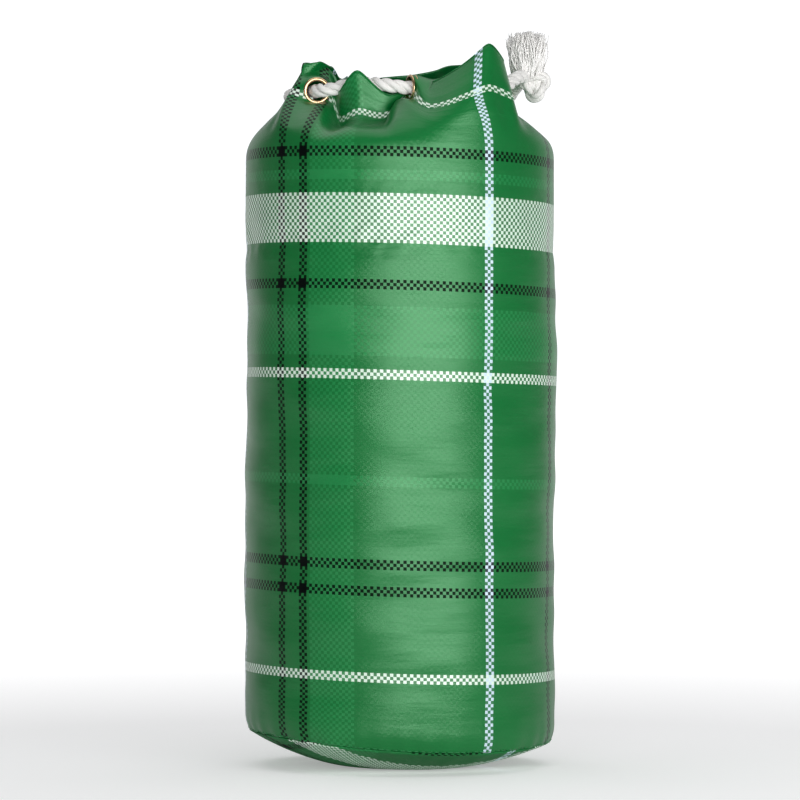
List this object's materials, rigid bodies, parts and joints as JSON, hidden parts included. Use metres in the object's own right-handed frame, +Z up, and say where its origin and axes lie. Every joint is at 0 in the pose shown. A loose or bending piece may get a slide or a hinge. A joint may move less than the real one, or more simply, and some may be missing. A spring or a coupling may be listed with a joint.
{
  "type": "rope storage bag",
  "caption": "Tall round soft bag in plaid cloth, its mouth gathered by a thick laid drawcord that weaves through brass eyelets and ends in a knot and frayed tassel.",
  "frame": {"origin": "on the floor, at the middle of the base panel", "axes": "+Z up the bag towards the mouth, -Y is the front, +X towards the cord's knot"},
  "size_m": [0.25, 0.25, 0.594],
  "materials": {
    "plaid_cloth": "satin coated cloth with a woven check",
    "binding_tape": "woven tape",
    "brass": "bright rolled brass",
    "cotton_cord": "soft laid cotton"
  },
  "bodies": {
    "bag_body": {"base_panel": "plaid_cloth", "base_binding": "binding_tape", "wall_panel": "plaid_cloth", "side_seam_tape": "binding_tape"},
    "neck": {"collar_panel": "plaid_cloth", "hem_facing": "plaid_cloth", "drawcord": "cotton_cord", "cord_end_front": "cotton_cord", "cord_end_rear": "cotton_cord"},
    "eyelet_set_1": {"eyelet_1": "brass", "washer_1": "brass"},
    "eyelet_set_2": {"eyelet_2": "brass", "washer_2": "brass"},
    "eyelet_set_3": {"eyelet_3": "brass", "washer_3": "brass"},
    "eyelet_set_4": {"eyelet_4": "brass", "washer_4": "brass"},
    "eyelet_set_5": {"eyelet_5": "brass", "washer_5": "brass"},
    "eyelet_set_6": {"eyelet_6": "brass", "washer_6": "brass"},
    "eyelet_set_7": {"eyelet_7": "brass", "washer_7": "brass"},
    "eyelet_set_8": {"eyelet_8": "brass", "washer_8": "brass"},
    "knot": {"cord_knot": "cotton_cord"},
    "tassel": {"cord_tassel": "cotton_cord"}
  },
  "joints": [
    {"name": "wall_collapse", "type": "slide", "parent": "bag_body", "child": "neck", "axis": [0, 0, 1], "range_m": [-0.26, 0], "deforming": ["wall_panel", "side_seam_tape"]},
    {"name": "cord_pull", "type": "slide", "parent": "neck", "child": "knot", "axis": [1, 0, 0], "range_m": [0, 0.05], "deforming": ["collar_panel", "hem_facing", "drawcord", "cord_end_front", "cord_end_rear"]},
    {"name": "tassel_swing", "type": "hinge", "parent": "knot", "child": "tassel", "pos_m": [0.109, 0, 0.549], "axis": [0, 1, 0], "range_deg": [-20, 110]},
    {"name": "eyelet_1_draw", "type": "slide", "parent": "neck", "child": "eyelet_set_1", "axis": [1, 0, 0], "range_m": [0, 0.01002]},
    {"name": "eyelet_2_draw", "type": "slide", "parent": "neck", "child": "eyelet_set_2", "axis": [1, 0, 0], "range_m": [0, 0.0081]},
    {"name": "eyelet_3_draw", "type": "slide", "parent": "neck", "child": "eyelet_set_3", "axis": [1, 0, 0], "range_m": [0, 0.0193]},
    {"name": "eyelet_4_draw", "type": "slide", "parent": "neck", "child": "eyelet_set_4", "axis": [1, 0, 0], "range_m": [0, 0.04403]},
    {"name": "eyelet_5_draw", "type": "slide", "parent": "neck", "child": "eyelet_set_5", "axis": [1, 0, 0], "range_m": [0, 0.05004]},
    {"name": "eyelet_6_draw", "type": "slide", "parent": "neck", "child": "eyelet_set_6", "axis": [1, 0, 0], "range_m": [0, 0.0505]},
    {"name": "eyelet_7_draw", "type": "slide", "parent": "neck", "child": "eyelet_set_7", "axis": [1, 0, 0], "range_m": [0, 0.05007]},
    {"name": "eyelet_8_draw", "type": "slide", "parent": "neck", "child": "eyelet_set_8", "axis": [1, 0, 0], "range_m": [0, 0.03221]}
  ],
  "couplings": [
    {"joint": "eyelet_1_draw", "follows": "cord_pull", "ratio": 0.1904},
    {"joint": "eyelet_2_draw", "follows": "cord_pull", "ratio": 0.1519},
    {"joint": "eyelet_3_draw", "follows": "cord_pull", "ratio": 0.376},
    {"joint": "eyelet_4_draw", "follows": "cord_pull", "ratio": 0.8705},
    {"joint": "eyelet_5_draw", "follows": "cord_pull", "ratio": 0.9908},
    {"joint": "eyelet_6_draw", "follows": "cord_pull", "ratio": 1},
    {"joint": "eyelet_7_draw", "follows": "cord_pull", "ratio": 0.9914},
    {"joint": "eyelet_8_draw", "follows": "cord_pull", "ratio": 0.6342}
  ]
}
